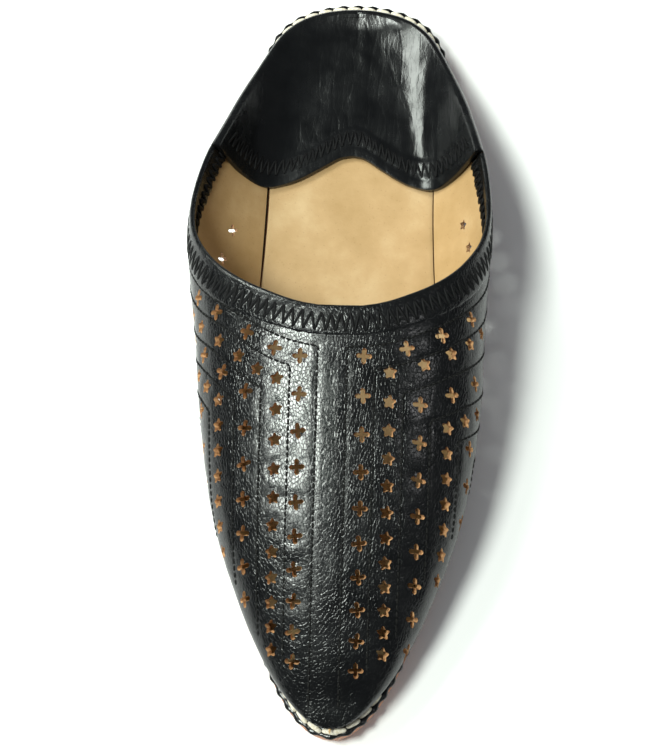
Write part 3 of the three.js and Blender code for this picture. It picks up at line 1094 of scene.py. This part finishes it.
def bracket_reach(share):
    return smooth_curve([row[0] for row in BRACKET], [row[1] for row in BRACKET], share)


def back_y(row, share):
    """How far back a row of the sheet lies, at a share of the half width."""
    reach = bracket_reach(share) - (HALF - HEEL_END)
    return HEEL_END - reach * (1 - np.cos(row * np.pi / 2))


def back_row(y, share):
    """The other way round: the row that lies at this y."""
    reach = bracket_reach(share) - (HALF - HEEL_END)
    return np.arccos(np.clip(1 - (HEEL_END - y) / reach, -1, 1)) / (np.pi / 2)


def on_flat(side, row, share):
    """The folded part: level in the middle, rising to the roll at the wall."""
    fold = FOLDS[side]
    y = back_y(row, share)
    edge_x = np.abs(fold.where(fold.end[:, 0], y))
    edge_z, slope = fold.where(fold.end[:, 2], y), fold.where(fold.slope, y)
    # rounded in the middle, so that the two slopes don't meet in a crease
    rounded = np.hypot(edge_x, MIDDLE_ROUND) - np.hypot(share * edge_x, MIDDLE_ROUND)
    away = rounded * fold.where(fold.facing, y)
    sink = np.clip(1 - away / slope, 0, 1) ** 2
    flat = back_flat(y)
    return np.stack([side * share * edge_x, y, flat + (edge_z - flat) * sink], -1)


def on_roll(side, row, share):
    """The roll, from the slope (share 0) out to the wall's top (share 1)."""
    fold = FOLDS[side]
    y = back_y(row, 1.0)
    tables = (fold.rim, fold.out, fold.rise)
    rim, out, rise = (read_between(y, fold.end[:, 1], table) for table in tables)
    return roll_point(rim, out, rise, fold.where(fold.turn, y) * (1 - share))


def on_wall(side, row, share):
    """The wall outside, from its top (share 0) down to the seam (share 1)."""
    fold, chart = FOLDS[side], CHARTS[side]
    angle = fold.where(fold.angles, back_y(row, 1.0))
    along = np.interp(angle, chart.angles, chart.along)
    top, foot = chart.top_at(along), chart.width_at(along)
    return chart.look_up(along, top + (foot - top) * share)[0]


# %% Lay the sheet
FIRST_ROW = 0.03  # the first row stands a little off the heel, so no points crowd there
HEM, HEM_STEP = 0.5, 12.5  # the front edge is turned under and stitched down
HEM_SEAM, HEM_DIP, HEM_DIP_WIDTH = 4.6, 0.3, 0.9  # its thread pulls the hem down
BACK_WRINKLES = [
    # height, cell across and along, seed
    (0.22, (13, 9), 11),
    (0.08, (4, 3), 12),
    (0.1, (3, 15), 14),
]
STREAKS, STREAKS_AT, STREAKS_WIDTH = (0.4, (2.6, 17), 13), 32, 8  # where the heel rubs it
columns = 2 * (WALL_COLUMNS + ROLL_COLUMNS + FLAT_COLUMNS // 2)
back_leather, column_share, row = bench_grid("back_leather", columns, BACK_ROWS)
place = np.abs(column_share - 0.5) * columns  # in columns, out from the middle
sides = np.where(column_share >= 0.5, 1, -1)
flat_end = FLAT_COLUMNS // 2
roll_end = flat_end + ROLL_COLUMNS
row = np.where(row > 0, FIRST_ROW + (1 - FIRST_ROW) * row, 0)
laid = np.zeros((len(row), 3))
part = np.digitize(place, [flat_end + 0.01, roll_end + 0.01])
for number, (lay_part, start, width) in enumerate(
    ((on_flat, 0, flat_end), (on_roll, flat_end, ROLL_COLUMNS), (on_wall, roll_end, WALL_COLUMNS))
):
    for side in (1, -1):
        chosen = (sides == side) & (part == number)
        laid[chosen] = lay_part(side, row[chosen], (place[chosen] - start) / width)
share_out = np.clip(place / flat_end, 0, 1)
from_edge = back_y(row, share_out) - back_y(np.ones_like(row), share_out)
hem = HEM * (1 - ramp(from_edge, HEM_STEP - 1.2, HEM_STEP))
hem -= HEM_DIP * bell(from_edge - HEM_SEAM, HEM_DIP_WIDTH)
raised = hem * ramp(row, 0.3, 0.6)
for height, cell, seed in BACK_WRINKLES:
    raised += height * value_noise(laid[:, 0], laid[:, 1], cell, seed)
height, cell, seed = STREAKS
streaks = height * value_noise(laid[:, 0], laid[:, 1], cell, seed)
raised += streaks * bell(laid[:, 0] - STREAKS_AT, STREAKS_WIDTH)
laid[:, 2] += np.where(place < flat_end, raised * ramp(flat_end - place, 0, 6), 0)
lay(back_leather, laid)
weld(back_leather, 0.02)
face_outward(back_leather)
print("back leather laid,", len(back_leather.data.vertices), "points")

# %% [markdown]
# A sheet gets its thickness on the side that its faces look away from, so it is turned face
# up first. The bevel then rounds the edges that Solidify leaves square.

# %% Thickness and rounded edges
BACK_SHEET = 1.5
face_up(back_leather)
apply_modifier(back_leather, "SOLIDIFY", thickness=BACK_SHEET * MM, offset=-1)
round_edges(back_leather, 0.5, 2, 62, loop_slide=False)


# %% [markdown]
# ## The collar
# The mouth's edge is turned in and stitched with a zigzag. A maker folds a strip over the
# cut edge; here a strip of grid is laid the same way. Its short section goes up the outside,
# round the edge and down the lining, and is swept from one corner of the mouth to the other.

# %% A line round the mouth, and places beside it
COLLAR_SECTION = [
    # below the edge, out from the leather's face
    (9.6, -0.3),
    (9.3, 0.1),
    (8.7, 0.32),
    (6.5, 0.4),
    (4.0, 0.34),
    (2.0, 0.3),
    (0.8, 0.34),
    (0.0, 0.3),
    (-0.5, 0.1),
    (-0.8, -0.3),
    (-0.85, -0.75),
    (-0.7, -1.2),
    (-0.3, -1.6),
    (0.4, -1.8),
    (2.0, -1.85),
    (4.0, -1.95),
    (5.6, -2.15),
    (7.2, -2.3),
    (8.3, -2.4),
    (8.7, -2.3),
    (8.8, -1.7),
]


def mouth_line(pitch):
    """Stations round the mouth from the left corner to the right: side, across, along."""
    parts = []
    for side in (-1, 1):
        rim = RIMS[side][0]
        rim = rim[rim[:, 1] <= ALONG_CORNER[side]]
        line, _ = walk(rim, pitch)
        part = np.column_stack([np.full(len(line), side), line])
        parts.append(part[::-1] if side < 0 else part[1:])
    return np.vstack(parts)


def beside_mouth(stations, below, out):
    """Points at a distance below the mouth's edge and out from the leather's face."""
    points = np.zeros((len(stations), 3))
    for side in (-1, 1):
        chosen = stations[:, 0] == side
        rim, way = RIMS[side]
        at = stations[chosen]
        heading = read_between(at[:, 2], rim[:, 1], way)
        heading[at[:, 1] < 1.5] = [1, 0]
        heading = unit(heading)
        down = np.stack([heading[:, 1], -heading[:, 0]], -1)
        under = np.maximum(below[chosen], 0)[:, None]
        spots = (at[:, 1:] + down * by for by in (under, 0.0, 1.0))
        (base, normal), (edge, _), (lower, _) = (
            CHARTS[side].look_up(spot[:, 1], np.maximum(spot[:, 0], 0)) for spot in spots
        )
        over = np.minimum(below[chosen], 0)[:, None]
        points[chosen] = base - unit(edge - lower) * over + normal * out[chosen][:, None]
    return points


RAGGED, RAGGED_BELOW = 1.1, 7  # the inner edge was cut by eye
MOUTH = mouth_line(RIM_PITCH)
collar, below, out, station = strip_grid("collar", COLLAR_SECTION, len(MOUTH))
run = station * RIM_PITCH
ragged = RAGGED * value_noise(run, 0 * below, (1.7, 1), 21)
below = below + ragged * ((below > RAGGED_BELOW) & (out < 0))
out = out + 0.1 * value_noise(run, below, (3.5, 2.5), 22) * (np.abs(out) > 0.3)
lay(collar, beside_mouth(MOUTH[station], below, out))
face_outward(collar)
print("collar laid over", len(MOUTH), "stations")


# %% [markdown]
# ## The seam's margin
# The upper's foot is turned outwards and sewn down on the outsole. Its edge swells out
# between the stitches, because each one pulls it in. A section is swept round the whole
# outline, and its edge and height follow the stitches' spacing.

# %% Stations round the outline
STITCH_PITCH = 5.6
STITCHED_AT = 2.2  # the thread lies this far outside the seam at the wall's foot


def around(by, pitch):
    """Even stations round the outline set in by a distance: side, angle and run, closed."""
    angles = np.linspace(0, np.pi, 1500)
    line = inset(angles, np.full(1500, by))
    line[:, 0] = np.maximum(line[:, 0], 0)
    run = run_along(np.vstack([line, (line * [-1, 1])[::-1][1:]]))
    at = np.linspace(0, run[-1], int(round(run[-1] / pitch)) + 1)
    picked = np.interp(at, run, np.concatenate([angles, 2 * np.pi - angles[::-1][1:]]))
    side = np.where(picked <= np.pi, 1, -1)
    return side, np.where(picked <= np.pi, picked, 2 * np.pi - picked), at


def on_margin(side, angle, out, up):
    """A point beside the foot of the wall: out from the seam, up from the sole."""
    spot = inset(angle, MARGIN - out)
    spot[:, 0] = np.maximum(spot[:, 0], 0)
    return np.stack([spot[:, 0] * side, spot[:, 1], sole_top(spot[:, 1]) + GAP + up], -1)


# %% Sweep the margin
MARGIN_SECTION = [
    # out from the seam, up from the sole
    (-1.2, 1.3),
    (-0.4, 2.1),
    (0.15, 2.25),
    (0.55, 2.0),
    (1.2, 1.75),
    (2.1, 1.65),
    (3.0, 1.6),
    (3.9, 1.4),
    (4.4, 0.85),
    (4.3, 0.3),
    (3.8, 0.0),
]
SCALLOP, PULL, CHANNEL = 0.38, 0.225, 0.25  # out and in, up and down, and the thread's bed
sides, angles, runs = around(MARGIN - STITCHED_AT, 0.8)
margin, out, up, station = strip_grid("margin", MARGIN_SECTION, len(angles))
stitch_count = int(round(runs[-1] / STITCH_PITCH))
wave = np.cos(2 * np.pi * stitch_count * runs[station] / runs[-1])  # 1 between stitches
out = out + SCALLOP * wave * ramp(out, STITCHED_AT, 3.9)
from_thread = out - STITCHED_AT
up = up + PULL * wave * bell(from_thread, 1.0) - CHANNEL * bell(from_thread, 1.1)
up = up + 0.06 * value_noise(runs[station], out, (2.0, 1.5), 31)
lay(margin, on_margin(sides[station], angles[station], out, np.maximum(up, 0)))
weld(margin, 0.01)
face_outward(margin)
print("margin carries", stitch_count, "stitches")


# %% [markdown]
# ## The sole
# The outsole and the heel are cut from thick vegetable-tanned leather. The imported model's
# shapes are right, so copies of them are merged and their cut edges rounded, as a maker does
# with a file and a bone. The insole is a thinner tan leather, glued down inside. It starts
# as a grid, because its edge follows the outline and its face is a little uneven.

# %% Outsole and heel
def filed_copy(node, name, roundness_mm):
    """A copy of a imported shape, merged, with its cut edges rounded."""
    piece = frame["nodes"][node].copy()
    piece.data = piece.data.copy()
    piece.name = piece.data.name = name
    piece.parent = None
    for key in list(piece.keys()):
        del piece[key]
    bpy.context.collection.objects.link(piece)
    weld(piece, 0.01)
    round_edges(piece, roundness_mm, 3, 50)
    return piece


outsole = filed_copy("outsole", "outsole_leather", 1.2)
heel = filed_copy("heel_lift", "heel_leather", 0.6)
for piece in (outsole, heel):
    print(piece.name, "is", [round(v, 4) for v in piece.dimensions])

# %% Insole
SOCK_WIDER, SOCK_THINNER, UNEVEN = 0.75, 0.1, 0.15  # it is pressed against the wall's foot
insole, across_share, along_share = bench_grid("insole_leather", 44, 150)
angle = along_share * np.pi
edge = inset(angle, np.full(len(angle), INSOLE_INSET - SOCK_WIDER))
x = np.maximum(edge[:, 0], 0) * (across_share * 2 - 1)
y = edge[:, 1]
up = UNEVEN * value_noise(x, y, (14, 18), 41) + 0.05 * value_noise(x, y, (5, 6), 42)
lay(insole, np.stack([x, y, insole_top(y) + up - UNEVEN], -1))
weld(insole, 0.01)
face_outward(insole)
face_up(insole)
apply_modifier(insole, "SOLIDIFY", thickness=(INSOLE_THICK - SOCK_THINNER) * MM, offset=-1)
round_edges(insole, 0.4, 2, 60)


# %% [markdown]
# ## The threads
# Three threads hold the slipper. A thick waxed ivory thread sews the margin to the sole in
# plump stitches. A thin black thread, worn a little grey, makes the quilting rows, and a
# thicker one goes in a zigzag round the mouth and along the folded back. One stitch of each
# kind is modelled, and the copies are turned to lie along the leather.

# %% One stitch of each kind
PLUMP = 0.55  # below 1, a stitch keeps its thickness towards its ends


def plump_stitch(name, length, width, height, segments, rings):
    """A stitch lying along x: thick in the middle, sinking into the leather at its ends."""
    bpy.ops.object.select_all(action="DESELECT")
    bpy.ops.mesh.primitive_uv_sphere_add(segments=segments, ring_count=rings, radius=1)
    stitch = bpy.context.object
    stitch.name = name
    y, z, x = points_of(stitch).T
    full = np.sqrt(np.clip(1 - x**2, 0, 1))
    plump = full**PLUMP / np.maximum(full, 1e-6)
    sunk = 0.35 * height * x**4
    lay(stitch, np.stack([x * length, y * plump * width, z * plump * height - 2 * sunk], -1) / 2)
    face_outward(stitch)
    return stitch


def place_matrix(points, ways, normals):
    """Places for stitches: x along the way, z out of the leather. Metres."""
    found = []
    for point, way, normal in zip(points, ways, normals):
        x = Vector(way).normalized()
        z = Vector(normal)
        z = (z - x * z.dot(x)).normalized()
        y = z.cross(x)
        turned = Matrix((x, y, z)).transposed().to_4x4()
        turned.translation = Vector(point) * MM
        found.append(turned)
    return found


# %% Ivory stitches round the sole
BEAD_LENGTH, BEAD_WIDTH, BEAD_HEIGHT = 5.7, 2.0, 1.9
BEAD_UP, BEAD_SLANT = 1.75, 0.12
sides, angles, runs = around(MARGIN - STITCHED_AT, STITCH_PITCH / 2)
sides, angles = sides[1::2], angles[1::2]
thread_at, thread_up = np.full(len(angles), STITCHED_AT), np.full(len(angles), BEAD_UP)
behind, here, ahead = (
    on_margin(sides, np.clip(angles + step, 0, np.pi), thread_at, thread_up)
    for step in (-0.01, 0, 0.01)
)
way = unit(ahead - behind)
way += BEAD_SLANT * unit(np.cross(way, [0, 0, 1.0]))
bead = plump_stitch("ivory_stitches", BEAD_LENGTH, BEAD_WIDTH, BEAD_HEIGHT, 10, 10)
ivory = copies(bead, place_matrix(here, way, np.tile([0, 0, 1.0], (len(here), 1))))
print("ivory stitches:", len(here))

# %% Quilting stitches
QUILT_PITCH, QUILT_LENGTH, QUILT_WIDTH, QUILT_HEIGHT = 2.2, 2.0, 0.8, 0.55
QUILT_UP = 0.12


def quilting_places(side):
    places = []
    for line in SEAM_LINES[side]:
        points, way = walk(line, QUILT_PITCH)
        height = relief(side, *points.T) + QUILT_UP
        (base, normal), (ahead, _) = (
            CHARTS[side].look_up(along, across)
            for across, along in (points.T, (points + way * 0.4).T)
        )
        places += place_matrix(base + normal * height[:, None], ahead - base, normal)
    return places


one = plump_stitch("quilting_stitches", QUILT_LENGTH, QUILT_WIDTH, QUILT_HEIGHT, 8, 5)
quilting = copies(one, quilting_places(1) + quilting_places(-1))
print("quilting:", triangle_count(quilting), "triangles")


# %% Zigzags at the mouth and on the folded back
def zigzag_places(upper, lower, normals_upper):
    """Legs between an upper and a lower row of needle holes."""
    points, ways, normals = [], [], []
    for number in range(len(upper) - 1):
        for start, end in ((upper[number], lower[number]), (lower[number], upper[number + 1])):
            points.append((start + end) / 2)
            ways.append(end - start)
            normals.append(normals_upper[number])
    return points, ways, normals


ZIGZAG_PERIOD = 3.1
MOUTH_ZIGZAGS = [
    # below the edge at the top and at the bottom, out from the leather at both, facing
    (1.7, 8.4, 0.45, 0.5, 1),
    (3.4, 8.9, -2.15, -2.6, -1),
]
stops = mouth_line(ZIGZAG_PERIOD)
legs = []
for top, bottom, out_top, out_bottom, facing in MOUTH_ZIGZAGS:
    upper, lower, raised = (
        beside_mouth(stops, np.full(len(stops), below), np.full(len(stops), out))
        for below, out in ((top, out_top), (bottom, out_bottom), (top, out_top + facing))
    )
    lower = (lower + np.vstack([lower[1:], lower[-1:]])) / 2
    legs.append(zigzag_places(upper, lower, raised - upper))


def on_back(shares, from_edge, lift):
    """A point on the folded back, at a distance behind its front edge."""
    side, share = np.where(shares >= 0, 1, -1), np.abs(shares)
    row = back_row(back_y(np.ones_like(share), share) + from_edge, share)
    found = np.zeros((len(share), 3))
    for one in (1, -1):
        found[side == one] = on_flat(one, row[side == one], share[side == one])
    found[:, 2] += HEM + lift
    return found


FLAP_SHARE = 0.97  # the zigzag stops a little before the walls
shares = np.concatenate([-np.linspace(1, 0, 400)[:-1], np.linspace(0, 1, 400)]) * FLAP_SHARE
run = run_along(on_back(shares, 0, 0))
count = int(run[-1] / ZIGZAG_PERIOD)
upper_shares = np.interp(np.linspace(0, run[-1], count + 1), run, shares)
lower_shares = np.interp(np.linspace(0, run[-1], 2 * count + 1)[1::2], run, shares)
upper = on_back(upper_shares, HEM_SEAM, -0.05)
lower = on_back(np.append(lower_shares, lower_shares[-1]), HEM_STEP - 1, -0.1)
legs.append(zigzag_places(upper, lower, np.tile([0, 0, 1.0], (len(upper), 1))))
places = [
    matrix @ Matrix.Scale(np.linalg.norm(way), 4, (1, 0, 0))
    for points, ways, normals in legs
    for matrix, way in zip(place_matrix(points, ways, normals), ways)
]
zigzag = copies(plump_stitch("zigzag_stitches", 1.0, 1.1, 0.8, 6, 6), places)
print("zigzag legs:", len(places))


# %% [markdown]
# ## Putting it together
# Each piece gets its finish, rides on the one rigid body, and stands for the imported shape
# that it replaces.

# %% Finish every piece
finish(vamp, [black_leather, raw_edge, lining], ["upper"])
finish(back_leather, [smooth_leather], ["heel_quarter"], 50)
finish(collar, [black_leather], smooth_angle=60)
finish(margin, [smooth_leather], smooth_angle=60)
finish(outsole, [sole_leather], ["outsole"])
finish(heel, [heel_leather], ["heel_lift"])
finish(insole, [lining], ["insole"])
finish(ivory, [ivory_thread], smooth_angle=80)
finish(quilting, [quilt_thread], smooth_angle=80)
finish(zigzag, [black_thread], smooth_angle=80)

# %% [markdown]
# ## Floor, light and camera
# A plain pale floor and soft light from high on the left. The camera looks down steeply
# from in front of the toe, a little to the right.

# %% Floor and world
bpy.ops.object.select_all(action="DESELECT")
bpy.ops.mesh.primitive_plane_add(size=8)
floor = bpy.context.object
floor.name = "floor"
floor_finish, _, shader, _ = new_finish("pale_floor", 0.9)
shader.inputs["Base Color"].default_value = linear("#FFFFFF")
floor.data.materials.append(floor_finish)
world = bpy.data.worlds.new("soft_studio")
world.use_nodes = True
sky = world.node_tree.nodes["Background"]
sky.inputs["Color"].default_value = linear("#E8EEF4")
sky.inputs["Strength"].default_value = 0.11
bpy.context.scene.world = world


# %% Lights
def soft_light(name, place, aim_height, size, power, colour="#FFFFFF"):
    """A round light of this size, turned to a point over the middle of the floor."""
    bpy.ops.object.light_add(type="AREA", location=place)
    light = bpy.context.object
    light.name = name
    light.data.shape, light.data.size, light.data.energy = "DISK", size, power
    light.data.color = linear(colour)[:3]
    away = Vector(place) - Vector((0, 0, aim_height))
    light.rotation_euler = away.to_track_quat("Z", "Y").to_euler()
    return light


soft_light("skylight", (-0.46, -0.30, 1.2), 0.03, 0.36, 17, "#EAF2EA")
soft_light("lamp", (0.72, -0.22, 1.06), 0.03, 0.16, 0.6)
soft_light("window", (-0.66, 0.54, 1.02), 0.03, 0.45, 11, "#EAF2EA")
fill = soft_light("fill", (-1.05, 0.05, 0.82), 0.03, 0.8, 8)
overhead = soft_light("overhead", (0.2, 0.1, 2.2), 0.0, 2.4, 6)
fill.visible_glossy = overhead.visible_glossy = False  # black leather doesn't mirror these
bpy.context.scene.view_settings.view_transform = "Standard"

# %% Camera
TARGET, DISTANCE = Vector((0, 0, 0.020)), 0.7409
ELEVATION, AZIMUTH, ROLL = math.radians(66.1), math.radians(4.903), math.radians(-3.079)
level = math.cos(ELEVATION)
back = Vector((math.sin(AZIMUTH) * level, -math.cos(AZIMUTH) * level, math.sin(ELEVATION)))
right = Vector((0, 0, 1)).cross(back).normalized()
up = back.cross(right)
rolled_right = right * math.cos(ROLL) + up * math.sin(ROLL)
rolled_up = -right * math.sin(ROLL) + up * math.cos(ROLL)
bpy.ops.object.camera_add()
camera = bpy.context.object
turned = Matrix((rolled_right, rolled_up, back)).transposed().to_4x4()
turned.translation = TARGET + back * DISTANCE
camera.matrix_world = turned
camera.data.lens, camera.data.sensor_width = 100.26, 36
camera.data.shift_x, camera.data.shift_y = -0.0264, -0.0516
bpy.context.scene.camera = camera
